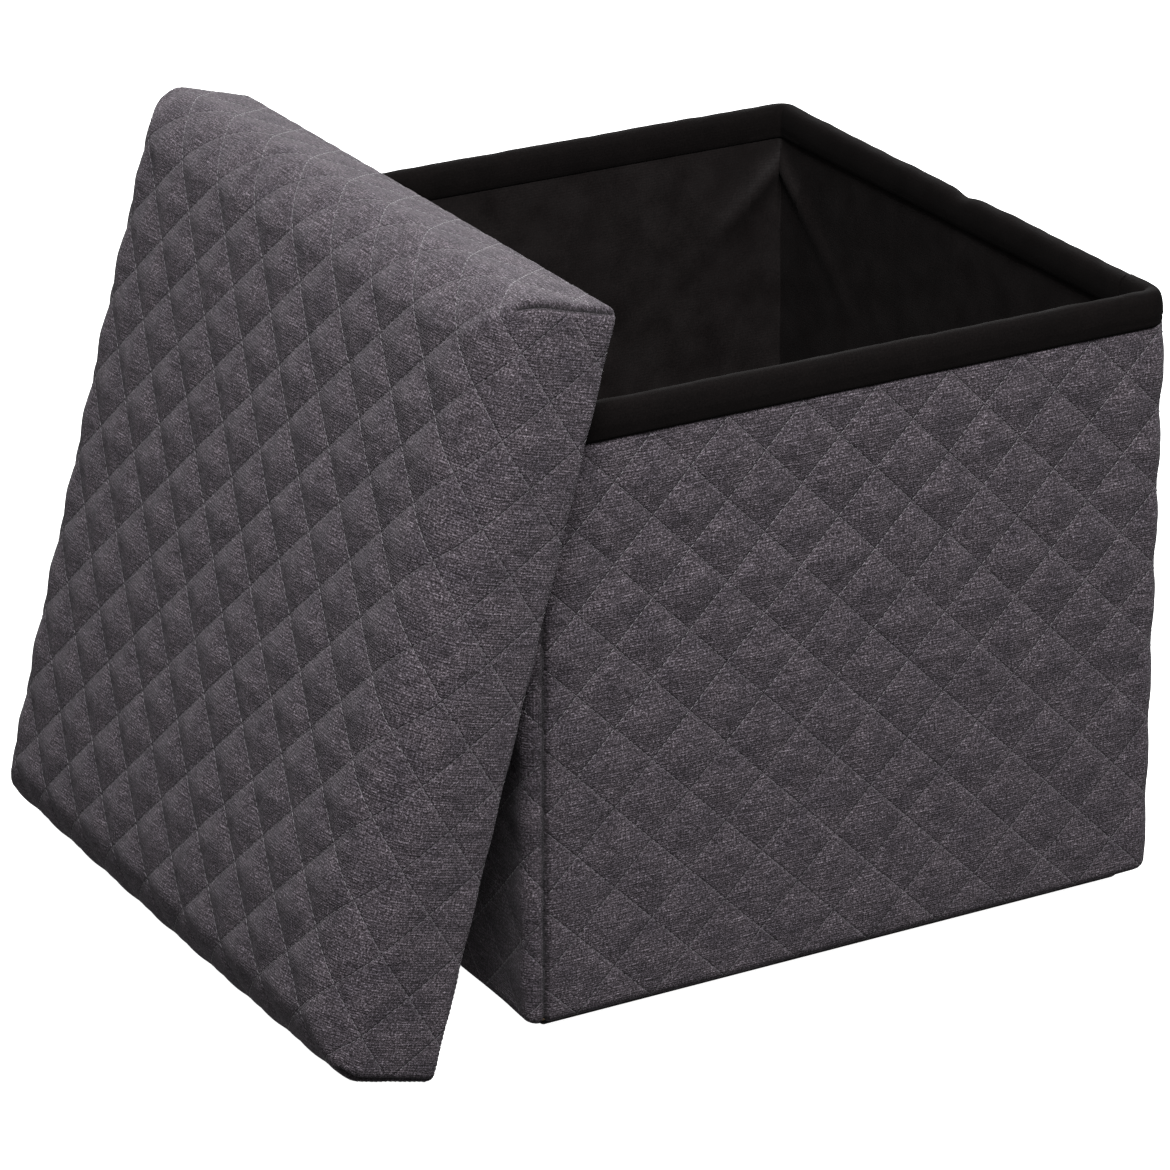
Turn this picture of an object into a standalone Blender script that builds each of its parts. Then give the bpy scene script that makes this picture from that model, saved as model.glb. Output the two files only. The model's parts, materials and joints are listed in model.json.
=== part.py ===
# Folding storage ottoman: a quilted box with a lined inside, and a padded lid that lifts off.
# The box folds flat. Its side walls are two halves each, creased down the middle, and they
# fold inwards while the front wall comes back to the back wall. The base panel tips up first.
# The lid stands on one edge beside the box and leans on the left wall, taken off.
#
# Frame: X runs along the front, Y from front to back, Z up. The origin is on the floor,
# under the middle of the box.

import math

import bmesh
import bpy
from mathutils import Vector

# ---- the box ----
box_width = 0.310
box_depth = 0.310
box_height = 0.274

# ---- the layers of a wall, from the outside in ----
cover_thick = 0.0030
board_thick = 0.0040
lining_thick = 0.0006
binding_inner = 0.0008

gap = 0.0003
corner_round = 0.006
foot_thick = 0.0012
foot_round = 0.0025

# ---- the black tape bound over the top edge ----
binding_drop = 0.0150
binding_top = 0.0012
binding_round = 0.0010

# ---- the base panel: a thin board in a cloth sleeve, hinged at the back wall ----
base_board_thick = 0.0025
sleeve_thick = 0.0005
base_side_play = 0.0020
base_front_play = 0.0020
base_hinge_gap = 0.0005
sleeve_hem = 0.0040

# ---- the fold ----
hinge_play = 0.0003
crease_gap = 0.0006
fold_play = 0.0015

# ---- the corner folds of cloth that the box stands on ----
corner_fold_inset = 0.0030
corner_fold_past = 0.0015
corner_fold_back = 0.0010

# ---- the lid ----
lid_play = 0.0042
lid_thick = 0.057
lid_recess = 0.022
lid_lean = math.radians(15.4)
lid_shift = -0.0038
lid_board_thick = 0.0040
skirt_thick = 0.0030
lid_edge_round = 0.020
lid_corner_round = 0.011
lid_rim_round = 0.002

# ---- worked out from the sizes above ----
wall_thick = cover_thick + board_thick + lining_thick + binding_inner + 3 * gap
base_thick = base_board_thick + 2 * (sleeve_thick + gap)
foot_level = base_thick + gap
board_bottom = foot_level + foot_thick + gap
board_top = box_height - binding_top - gap
cover_top = box_height - binding_drop - gap
back_reach = base_thick + fold_play
lid_overhang = lid_play + skirt_thick + gap + cover_thick
lid_length = box_width + 2 * lid_overhang
lid_width = box_depth + 2 * lid_overhang

half_w = box_width / 2
half_d = box_depth / 2

rear_hinge_y = half_d - wall_thick - back_reach - hinge_play
front_hinge_y = -half_d + wall_thick + hinge_play
crease_y = (rear_hinge_y + front_hinge_y) / 2
hinge_x = half_w - wall_thick - hinge_play
crease_x = half_w + hinge_play

cut_past = 0.001


def clear_scene():
    for thing in list(bpy.data.objects):
        bpy.data.objects.remove(thing, do_unlink=True)


def make_look(name, colour, roughness, metallic=0.0):
    look = bpy.data.materials.new(name)
    look.use_nodes = True
    shader = look.node_tree.nodes["Principled BSDF"]
    shader.inputs["Base Color"].default_value = (*colour, 1.0)
    shader.inputs["Roughness"].default_value = roughness
    shader.inputs["Metallic"].default_value = metallic
    return look


def make_frame(name, place, turn=(0.0, 0.0, 0.0)):
    frame = bpy.data.objects.new(name, None)
    bpy.context.collection.objects.link(frame)
    frame.location = place
    frame.rotation_euler = turn
    return frame


def add_object(name, mesh, frame, look):
    thing = bpy.data.objects.new(name, mesh)
    bpy.context.collection.objects.link(thing)
    thing.parent = frame
    if look is None:
        thing.hide_render = True
        thing.display_type = "WIRE"
    else:
        thing.data.materials.append(look)
    return thing


def block(name, low, high, frame, look=None):
    """A box between two corners, with its origin in its middle."""
    size = Vector(high) - Vector(low)
    mesh = bpy.data.meshes.new(name)
    shape = bmesh.new()
    bmesh.ops.create_cube(shape, size=1.0)
    bmesh.ops.scale(shape, vec=size, verts=shape.verts)
    shape.to_mesh(mesh)
    shape.free()
    thing = add_object(name, mesh, frame, look)
    thing.location = (Vector(high) + Vector(low)) / 2
    return thing


def prism(name, outline, bottom, top, frame, look=None):
    """An outline in the X-Y plane, drawn anticlockwise and pulled up from bottom to top."""
    mesh = bpy.data.meshes.new(name)
    shape = bmesh.new()
    points = [shape.verts.new((x, y, 0.0)) for x, y in outline]
    floor = shape.faces.new(points)
    pulled = bmesh.ops.extrude_face_region(shape, geom=[floor])
    raised = [v for v in pulled["geom"] if isinstance(v, bmesh.types.BMVert)]
    bmesh.ops.translate(shape, verts=raised, vec=(0.0, 0.0, top - bottom))
    bmesh.ops.recalc_face_normals(shape, faces=shape.faces)
    shape.to_mesh(mesh)
    shape.free()
    thing = add_object(name, mesh, frame, look)
    thing.location = (0.0, 0.0, bottom)
    return thing


def round_edges(thing, radius, wanted, segments=3):
    """Rounds the edges for which wanted(middle, direction) is true."""
    shape = bmesh.new()
    shape.from_mesh(thing.data)
    chosen = []
    for edge in shape.edges:
        ends = edge.verts[1].co - edge.verts[0].co
        middle = (edge.verts[1].co + edge.verts[0].co) / 2
        if wanted(middle, ends.normalized()):
            chosen.append(edge)
    bmesh.ops.bevel(
        shape, geom=chosen, offset=radius, segments=segments,
        affect="EDGES", profile=0.5, clamp_overlap=True,
    )
    shape.to_mesh(thing.data)
    shape.free()
    thing.data.shade_smooth()
    thing.data.set_sharp_from_angle(angle=math.radians(40))


def combine(thing, other, operation):
    step = thing.modifiers.new(operation.title(), "BOOLEAN")
    step.operation = operation
    step.solver = "EXACT"
    step.object = other


def wall_outline(start, end, outer, inner, reach, arm):
    """A wall seen from above: a strip, with an arm at each end that reaches into the box."""
    if reach == 0:
        return [(start, outer), (end, outer), (end, inner), (start, inner)]
    tip = inner + reach
    return [
        (start, outer), (end, outer), (end, tip), (end - arm, tip),
        (end - arm, inner), (start + arm, inner), (start + arm, tip), (start, tip),
    ]


def is_upright(direction):
    return abs(direction.z) > 0.99


def make_wall(name, frame, hinge, start, end, wraps, reach, looks):
    """One wall panel: board, quilted cover, lining and the tape over its top edge.

    Its frame's X runs along the wall and Y from its outer face inwards. hinge is where the
    frame's origin lies on the wall, as (along, inwards). A wall that wraps carries its cover
    and tape round its own ends; a half wall is open at its ends.
    """
    along, inwards = hinge
    start = start - along
    end = end - along
    outer = -inwards
    inner = outer + wall_thick
    end_cover = cover_thick if wraps else -cut_past
    end_board = cover_thick + gap if wraps else 0.0

    # quilted cover: outer face, foot turned under the board, ends that wrap the corners
    cover = prism(
        name + "_cover",
        wall_outline(start, end, outer, inner, reach, wall_thick),
        foot_level, cover_top, frame, looks["cover"],
    )
    if wraps:
        round_edges(cover, corner_round, lambda m, d: is_upright(d) and m.y < outer + gap, 4)
    round_edges(
        cover, foot_round,
        lambda m, d: m.z < gap and abs(d.x) > 0.99 and m.y < outer + gap,
    )
    pocket = block(
        name + "_cover_pocket",
        (start + end_cover, outer + cover_thick, foot_level + foot_thick),
        (end - end_cover, inner + reach + cut_past, cover_top + cut_past),
        frame,
    )
    combine(cover, pocket, "DIFFERENCE")

    # board
    board_outer = outer + cover_thick + gap
    block(
        name + "_board",
        (start + end_board, board_outer, board_bottom),
        (end - end_board, board_outer + board_thick, board_top),
        frame, looks["board"],
    )

    # lining on the board's inner face, turned along the arms
    lining_inner = inner - binding_inner - gap
    lining_outer = lining_inner - lining_thick
    lining_end = lining_outer - outer if wraps else 0.0
    prism(
        name + "_lining",
        wall_outline(
            start + lining_end, end - lining_end, lining_outer, lining_inner, reach, lining_thick
        ),
        board_bottom, board_top, frame, looks["lining"],
    )

    # tape folded over the top edge, hollow below for the board and the lining
    binding = prism(
        name + "_binding",
        wall_outline(start, end, outer, inner, reach, wall_thick),
        box_height - binding_drop, box_height, frame, looks["binding"],
    )
    if wraps:
        round_edges(binding, corner_round, lambda m, d: is_upright(d) and m.y < outer + gap, 4)
    lip_top = binding_drop
    round_edges(
        binding, binding_round,
        lambda m, d: m.z > lip_top - gap and abs(d.x) > 0.99 and m.y < outer + gap, 2,
    )
    hollow = prism(
        name + "_binding_hollow",
        wall_outline(
            start + end_cover, end - end_cover, outer + cover_thick, inner - binding_inner,
            reach, wall_thick - cover_thick - binding_inner,
        ),
        box_height - binding_drop - cut_past, box_height - binding_top, frame,
    )
    combine(binding, hollow, "DIFFERENCE")
    return cover


def add_corner_folds(name, cover, frame, hinge, looks):
    """The cloth bunched under both ends of a wall, which the box stands on."""
    along, inwards = hinge
    fold_end = wall_thick + corner_fold_past
    for side, tag in ((-1, "left"), (1, "right")):
        near = side * (half_w - corner_fold_inset) - along
        far = side * (half_w - fold_end) - along
        fold = block(
            f"{name}_corner_fold_{tag}",
            (min(near, far), corner_fold_inset - inwards, 0.0),
            (max(near, far), wall_thick - corner_fold_back - inwards, foot_level + foot_thick / 2),
            frame,
        )
        combine(cover, fold, "UNION")


def make_cross_wall(name, frame, hinge, reach, looks):
    """The front or the back wall, one panel from corner to corner."""
    cover = make_wall(name, frame, hinge, -half_w, half_w, True, reach, looks)
    add_corner_folds(name, cover, frame, hinge, looks)


def make_side_wall(side, tag, looks):
    """A side wall: two halves with the crease between them."""
    turn = (0.0, 0.0, side * math.pi / 2)
    rear_place = Vector((side * hinge_x, rear_hinge_y, 0.0))
    crease_place = Vector((side * crease_x, crease_y, 0.0))
    rear_frame = make_frame(f"{tag}_rear_frame", rear_place, turn)
    if side < 0:
        front_frame = make_frame(f"{tag}_front_frame", crease_place, turn)
        front_hinge = (-crease_y, -hinge_play)
    else:
        front_place = Vector((side * hinge_x, front_hinge_y, 0.0))
        front_frame = make_frame(f"{tag}_front_frame", front_place, turn)
        front_hinge = (front_hinge_y, wall_thick + hinge_play)
    rear_hinge = (side * rear_hinge_y, wall_thick + hinge_play)
    rear_span = sorted((side * rear_hinge_y, side * (crease_y + crease_gap / 2)))
    front_span = sorted((side * (crease_y - crease_gap / 2), side * front_hinge_y))
    make_wall(f"{tag}_rear", rear_frame, rear_hinge, *rear_span, False, 0, looks)
    make_wall(f"{tag}_front", front_frame, front_hinge, *front_span, False, 0, looks)


def make_base(looks):
    """The base panel. Its frame lies on its hinge line, at its top face by the back wall."""
    hinge_y = half_d - wall_thick - base_hinge_gap
    hinge_z = base_thick + gap
    frame = make_frame("base_frame", (0.0, hinge_y, hinge_z))
    reach_x = half_w - wall_thick - base_side_play
    front = -half_d + wall_thick + base_front_play - hinge_y
    rear = -gap
    skin = sleeve_thick
    bottom = -hinge_z
    top = base_thick - hinge_z
    sleeve = block(
        "base_sleeve", (-reach_x, front, bottom), (reach_x, rear, top), frame, looks["lining"]
    )
    slot = block(
        "base_sleeve_slot",
        (-reach_x + skin, front + skin, bottom + skin),
        (reach_x - skin, rear + cut_past, top - skin),
        frame,
    )
    combine(sleeve, slot, "DIFFERENCE")
    inset = skin + gap
    block(
        "base_board",
        (-reach_x + inset, front + inset, bottom + inset),
        (reach_x - inset, rear - sleeve_hem, top - inset),
        frame, looks["board"],
    )


def rounded_pad(name, inset, bottom, top, corner, top_round, frame, look=None, rim_round=0.0):
    """A pad set in from the lid's outline, with round corners and a round top edge."""
    pad = block(
        name, (inset, inset - lid_width / 2, bottom),
        (lid_length - inset, lid_width / 2 - inset, top), frame, look,
    )
    rise = (top - bottom) / 2
    round_edges(pad, corner, lambda m, d: is_upright(d), 4)
    round_edges(pad, top_round, lambda m, d: m.z > rise - 1e-5 and abs(d.z) < 0.01, 5)
    if rim_round:
        round_edges(pad, rim_round, lambda m, d: m.z < -rise + 1e-5 and abs(d.z) < 0.01, 2)
    return pad


def lid_plate(name, inset, bottom, top, frame, look=None):
    """A plain plate set in from the lid's outline."""
    return block(
        name, (inset, inset - lid_width / 2, bottom),
        (lid_length - inset, lid_width / 2 - inset, top), frame, look,
    )


def lean_place():
    """Where the lid's lower edge stands, so that its lining rests on the left wall's top edge."""
    lean_sum = math.cos(lid_lean) + math.sin(lid_lean)
    # its rounded lower edge just meets the floor
    lift = -lid_rim_round * (lean_sum - 1)
    rest_x = -half_w + binding_round
    rest_z = box_height - binding_round
    rest = -math.cos(lid_lean) * rest_x + math.sin(lid_lean) * rest_z + binding_round
    start = -(rest - (lid_recess - gap) - math.sin(lid_lean) * lift) / math.cos(lid_lean)
    return (start, lid_shift, lift)


def make_lid(looks):
    """The lid, in a frame whose X runs up its underside and Z out of its seat."""
    frame = make_frame("lid_frame", lean_place(), (0.0, lid_lean - math.pi / 2, 0.0))

    inside_corner = lid_corner_round - cover_thick
    inside_top = lid_edge_round - cover_thick
    board_low = lid_recess + lining_thick + gap
    board_high = board_low + lid_board_thick
    board_inset = cover_thick + gap
    strip_inset = board_inset + skirt_thick

    cover = rounded_pad(
        "lid_cover", 0.0, 0.0, lid_thick, lid_corner_round, lid_edge_round, frame,
        looks["cover"], lid_rim_round,
    )
    hollow = rounded_pad(
        "lid_cover_hollow", cover_thick, foot_thick, lid_thick - cover_thick,
        inside_corner, inside_top, frame,
    )
    mouth = lid_plate("lid_cover_mouth", strip_inset, -cut_past, foot_thick + cut_past, frame)
    combine(cover, hollow, "DIFFERENCE")
    combine(cover, mouth, "DIFFERENCE")

    rounded_pad(
        "lid_foam", board_inset, board_high + gap, lid_thick - cover_thick - gap,
        inside_corner - gap, inside_top - gap, frame, looks["foam"],
    )
    board = lid_plate("lid_board", board_inset, board_low, board_high, frame, looks["board"])
    round_edges(board, inside_corner - gap, lambda m, d: is_upright(d), 4)
    lid_plate(
        "lid_lining", strip_inset + gap, lid_recess, lid_recess + lining_thick, frame,
        looks["lining"],
    )

    # four strips under the board make the skirt that drops over the box
    strip_low = foot_thick + gap
    strip_high = board_low - gap
    strip_end = board_inset + inside_corner
    short_half = lid_width / 2 - strip_end
    for side, tag in ((-1, "front"), (1, "back")):
        inner = side * (lid_width / 2 - strip_inset)
        near, far = sorted((inner, inner + side * skirt_thick))
        block(
            f"lid_skirt_{tag}", (strip_end, near, strip_low),
            (lid_length - strip_end, far, strip_high), frame, looks["board"],
        )
    for start, tag in ((board_inset, "bottom"), (lid_length - strip_inset, "top")):
        block(
            f"lid_skirt_{tag}", (start, -short_half, strip_low),
            (start + skirt_thick, short_half, strip_high), frame, looks["board"],
        )


clear_scene()

looks = {
    "cover": make_look("charcoal_linen", (0.085, 0.078, 0.088), 0.92),
    "board": make_look("fibreboard", (0.36, 0.25, 0.15), 0.80),
    "lining": make_look("black_nonwoven", (0.012, 0.012, 0.013), 0.95),
    "binding": make_look("black_tape", (0.010, 0.010, 0.011), 0.90),
    "foam": make_look("seat_foam", (0.80, 0.77, 0.66), 0.95),
}

back_hinge = (0.0, 0.0)
front_hinge = (-hinge_x, wall_thick + hinge_play)
back_frame = make_frame("back_frame", (0.0, half_d, 0.0), (0.0, 0.0, math.pi))
front_frame = make_frame("front_frame", (-hinge_x, front_hinge_y, 0.0))

make_cross_wall("back_wall", back_frame, back_hinge, back_reach, looks)
make_cross_wall("front_wall", front_frame, front_hinge, 0, looks)
make_side_wall(-1, "left", looks)
make_side_wall(1, "right", looks)
make_base(looks)
make_lid(looks)
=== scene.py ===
import bmesh
import bpy
import json
import math
from mathutils import Matrix, Vector, kdtree, noise

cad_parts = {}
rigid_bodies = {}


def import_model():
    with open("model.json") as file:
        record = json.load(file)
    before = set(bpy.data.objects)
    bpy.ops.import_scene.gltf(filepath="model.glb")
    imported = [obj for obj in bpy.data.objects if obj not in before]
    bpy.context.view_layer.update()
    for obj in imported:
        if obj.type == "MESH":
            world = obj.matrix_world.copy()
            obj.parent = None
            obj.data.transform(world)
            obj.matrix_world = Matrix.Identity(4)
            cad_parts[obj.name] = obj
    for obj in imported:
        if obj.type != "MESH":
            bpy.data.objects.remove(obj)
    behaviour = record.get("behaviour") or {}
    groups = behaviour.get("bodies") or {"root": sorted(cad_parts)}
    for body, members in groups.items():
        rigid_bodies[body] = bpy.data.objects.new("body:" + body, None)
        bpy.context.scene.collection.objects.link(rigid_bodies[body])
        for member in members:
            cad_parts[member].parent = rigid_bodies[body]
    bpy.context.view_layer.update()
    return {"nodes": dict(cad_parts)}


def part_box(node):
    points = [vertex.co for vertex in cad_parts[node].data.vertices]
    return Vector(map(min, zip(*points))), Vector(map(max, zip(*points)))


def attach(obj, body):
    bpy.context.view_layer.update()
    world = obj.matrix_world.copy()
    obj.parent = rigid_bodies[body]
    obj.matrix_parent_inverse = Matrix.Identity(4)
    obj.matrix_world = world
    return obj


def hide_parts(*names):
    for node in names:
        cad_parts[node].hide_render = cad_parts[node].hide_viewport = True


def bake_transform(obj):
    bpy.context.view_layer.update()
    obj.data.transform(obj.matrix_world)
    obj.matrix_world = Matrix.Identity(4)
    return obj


for leftover in list(bpy.data.objects):
    bpy.data.objects.remove(leftover, do_unlink=True)

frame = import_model()
print("frame loaded")


# small helpers

def deselectAll():
    if bpy.context.object and bpy.context.mode != "OBJECT":
        bpy.ops.object.mode_set(mode="OBJECT")
    bpy.ops.object.select_all(action="DESELECT")


def pickOnly(obj):
    deselectAll()
    obj.select_set(True)
    bpy.context.view_layer.objects.active = obj


def applyPlace(obj):
    pickOnly(obj)
    bpy.ops.object.transform_apply(location=True, rotation=True, scale=True)


def applyTop(obj, modifier):
    pickOnly(obj)
    bpy.ops.object.modifier_apply(modifier=modifier.name)


def copyPiece(obj, name):
    twin = obj.copy()
    twin.data = obj.data.copy()
    twin.name = name
    twin.data.name = name
    bpy.context.scene.collection.objects.link(twin)
    return twin


def dropPiece(obj):
    mesh = obj.data
    bpy.data.objects.remove(obj, do_unlink=True)
    bpy.data.meshes.remove(mesh)


def editWhole(obj, operator, **settings):
    # one operator of edit mode, run on the whole piece
    pickOnly(obj)
    bpy.ops.object.mode_set(mode="EDIT")
    bpy.ops.mesh.select_all(action="SELECT")
    operator(**settings)
    bpy.ops.object.mode_set(mode="OBJECT")


def cutAt(obj, axis, value, side, clear=True):
    # side +1 clears what is above the value, -1 what is below it
    place = [0.0, 0.0, 0.0]
    normal = [0.0, 0.0, 0.0]
    place[axis] = value
    normal[axis] = side
    editWhole(
        obj, bpy.ops.mesh.bisect, plane_co=place, plane_no=normal, clear_outer=clear, threshold=1e-7
    )


def cutCorners(obj, middle, half):
    # takes the four corner squares off a flat square sheet
    for value in (middle - half, middle + half):
        cutAt(obj, 0, value, 1, clear=False)
        cutAt(obj, 1, value, 1, clear=False)
    pickOnly(obj)
    beyond = half + 1e-6
    for polygon in obj.data.polygons:
        spot = polygon.center
        polygon.select = abs(spot.x - middle) > beyond and abs(spot.y - middle) > beyond
    bpy.ops.object.mode_set(mode="EDIT")
    bpy.ops.mesh.select_mode(type="FACE")
    bpy.ops.mesh.delete(type="FACE")
    bpy.ops.object.mode_set(mode="OBJECT")


def mergeClose(obj, distance):
    pickOnly(obj)
    bpy.ops.object.mode_set(mode="EDIT")
    bpy.ops.mesh.select_all(action="SELECT")
    bpy.ops.mesh.remove_doubles(threshold=distance)
    bpy.ops.mesh.dissolve_degenerate(threshold=0.00005)
    bpy.ops.mesh.select_all(action="SELECT")
    bpy.ops.mesh.delete_loose(use_faces=False)
    bpy.ops.object.mode_set(mode="OBJECT")


def outward(obj):
    editWhole(obj, bpy.ops.mesh.normals_make_consistent, inside=False)


def easeEdges(obj, width):
    modifier = obj.modifiers.new("edges", "BEVEL")
    modifier.width = width
    modifier.segments = 3
    modifier.limit_method = "NONE"
    applyTop(obj, modifier)


def subdivideOnce(obj, kind):
    modifier = obj.modifiers.new("finer", "SUBSURF")
    modifier.subdivision_type = kind
    modifier.levels = 1
    modifier.render_levels = 1
    applyTop(obj, modifier)


def thicken(obj, amount):
    modifier = obj.modifiers.new("thickness", "SOLIDIFY")
    modifier.thickness = amount
    modifier.offset = -1.0
    applyTop(obj, modifier)


def smoothShade(obj, angle=50):
    pickOnly(obj)
    bpy.ops.object.shade_smooth_by_angle(angle=math.radians(angle))


def dressPiece(obj, material, angle=50):
    smoothShade(obj, angle)
    obj.data.materials.append(material)


def setPiece(obj, body, replaced=()):
    # body is a body's name, or a row of the blends; replaced names the nodes it stands for
    if body in blends:
        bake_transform(obj)
    else:
        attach(obj, body)
    if replaced:
        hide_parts(*replaced)


def smoothStep(value, low, high):
    t = min(max((value - low) / (high - low), 0.0), 1.0)
    return t * t * (3 - 2 * t)


def wobble(x, y, z, size, seed=0.0):
    # soft noise from about -1 to 1, its lumps about size metres across
    return noise.noise(Vector((x / size + seed, y / size - seed, z / size + 0.37 * seed)))


# materials

def newMaterial(name):
    material = bpy.data.materials.new(name)
    material.use_nodes = True
    tree = material.node_tree
    tree.nodes.clear()
    out = tree.nodes.new("ShaderNodeOutputMaterial")
    shader = tree.nodes.new("ShaderNodeBsdfPrincipled")
    tree.links.new(shader.outputs["BSDF"], out.inputs["Surface"])
    return material, tree, shader


def addNode(tree, kind, **settings):
    node = tree.nodes.new(kind)
    for key, value in settings.items():
        setattr(node, key, value)
    return node


def setSockets(node, values):
    for name, value in values.items():
        node.inputs[name].default_value = value


def placeNode(tree, where="Object", scale=(1.0, 1.0, 1.0)):
    # where is "Object" or the name of a uv map; scale stretches the pattern
    source = addNode(tree, "ShaderNodeTexCoord")
    output = source.outputs["Object"]
    if where != "Object":
        source = addNode(tree, "ShaderNodeUVMap", uv_map=where)
        output = source.outputs["UV"]
    mapping = addNode(tree, "ShaderNodeMapping")
    mapping.inputs["Scale"].default_value = scale
    tree.links.new(output, mapping.inputs["Vector"])
    return mapping.outputs["Vector"]


def noiseNode(tree, vector, scale, detail=4.0, rough=0.55):
    node = addNode(tree, "ShaderNodeTexNoise")
    setSockets(node, {"Scale": scale, "Detail": detail, "Roughness": rough})
    tree.links.new(vector, node.inputs["Vector"])
    return node.outputs["Fac"]


def waveNode(tree, vector, scale, direction, distortion=1.5):
    node = addNode(tree, "ShaderNodeTexWave", bands_direction=direction)
    setSockets(node, {"Scale": scale, "Distortion": distortion, "Detail": 2.0, "Detail Scale": 1.5})
    tree.links.new(vector, node.inputs["Vector"])
    return node.outputs["Fac"]


def cellNode(tree, vector, scale, **settings):
    node = addNode(tree, "ShaderNodeTexVoronoi", **settings)
    setSockets(node, {"Scale": scale})
    tree.links.new(vector, node.inputs["Vector"])
    return node


def grey(value):
    return (value, value, value)


def rampNode(tree, factor, stops):
    node = addNode(tree, "ShaderNodeValToRGB")
    ramp = node.color_ramp
    while len(ramp.elements) < len(stops):
        ramp.elements.new(0.5)
    for element, (place, colour) in zip(ramp.elements, stops):
        element.position = place
        element.color = (*colour, 1.0)
    tree.links.new(factor, node.inputs["Fac"])
    return node.outputs["Color"]


def mixColours(tree, factor, first, second):
    node = addNode(tree, "ShaderNodeMix", data_type="RGBA")
    tree.links.new(factor, node.inputs["Factor"])
    tree.links.new(first, node.inputs["A"])
    tree.links.new(second, node.inputs["B"])
    return node.outputs["Result"]


def multiplyColours(tree, first, second):
    node = addNode(tree, "ShaderNodeMix", data_type="RGBA", blend_type="MULTIPLY")
    node.inputs["Factor"].default_value = 1.0
    tree.links.new(first, node.inputs["A"])
    tree.links.new(second, node.inputs["B"])
    return node.outputs["Result"]


def mathNode(tree, kind, first, second):
    node = addNode(tree, "ShaderNodeMath", operation=kind)
    for socket, value in zip(node.inputs, (first, second)):
        if isinstance(value, (int, float)):
            socket.default_value = value
        else:
            tree.links.new(value, socket)
    return node.outputs[0]


def whiteNode(tree, amount=1.0):
    node = addNode(tree, "ShaderNodeRGB")
    node.outputs[0].default_value = (amount, amount, amount, 1.0)
    return node.outputs[0]


def shadeBy(tree, colour, factor, amount):
    # multiplies the colour by the amount where the factor is 1
    shade = mixColours(tree, factor, whiteNode(tree), whiteNode(tree, amount))
    return multiplyColours(tree, colour, shade)


def bumpNode(tree, height, strength, distance, before=None):
    node = addNode(tree, "ShaderNodeBump")
    node.inputs["Strength"].default_value = strength
    node.inputs["Distance"].default_value = distance
    tree.links.new(height, node.inputs["Height"])
    if before is not None:
        tree.links.new(before, node.inputs["Normal"])
    return node.outputs["Normal"]


quilt = {
    "across": 0.0353,  # from one crossing of the stitch lines to the next, across the cloth
    "up": 0.0360,  # and up it
    "cells": 8,  # faces along each side of a diamond
    "slack": 0.030,  # spare cloth between the stitch lines
    "pressure": 30.0,
    "bending": 0.5,
    "frames": 14,
    "filling": 0.0008,  # how far the wadding alone lifts a pillow's middle
    "puff": 0.0026,  # the highest a pillow may stand
    "dip": 0.0006,  # the lowest
    "leastPuff": 0.0003,  # a sheet lower than this was not blown up
    "onLine": 0.0004,  # cloth this near a stitch line or a rim is held by it
    "rimCatch": 0.0009,
}

linen = {
    "dark": (0.0068, 0.0052, 0.0064),
    "shadow": (0.0215, 0.0178, 0.0210),
    "middle": (0.0425, 0.0362, 0.0420),
    "light": (0.088, 0.0765, 0.0885),
    "bright": (0.185, 0.1660, 0.1880),
    "yarn": 1150.0,  # yarns to the metre
    "slub": 420.0,
    "clouds": 70.0,
    "crease": 0.024,  # half width of a crease, in parts of the way between two lines
    "creaseWaver": 0.05,
    "creaseFade": 0.36,  # what is left of a crease at its half width
    "creaseShade": 0.74,  # painted shade: a crease one way is darker
    "creasePaintedHighlight": 1.20,  # painted highlight: the other way the crease's edge is lighter, as if it catches the light
    "creaseDeep": 0.0004,
    # how dark the painted seam shade is
    "seamShade": 0.16,
}


def creaseNode(tree, across, up, waver):
    # 1 in the crease along one direction of the stitch lines, falling to 0 beside it
    line = mathNode(tree, "ADD", across, up)
    line = mathNode(tree, "ADD", line, mathNode(tree, "MULTIPLY", waver, linen["creaseWaver"]))
    away = mathNode(tree, "PINGPONG", line, 0.5)
    away = mathNode(tree, "DIVIDE", away, linen["crease"])
    return mathNode(tree, "POWER", linen["creaseFade"], mathNode(tree, "MULTIPLY", away, away))


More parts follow.
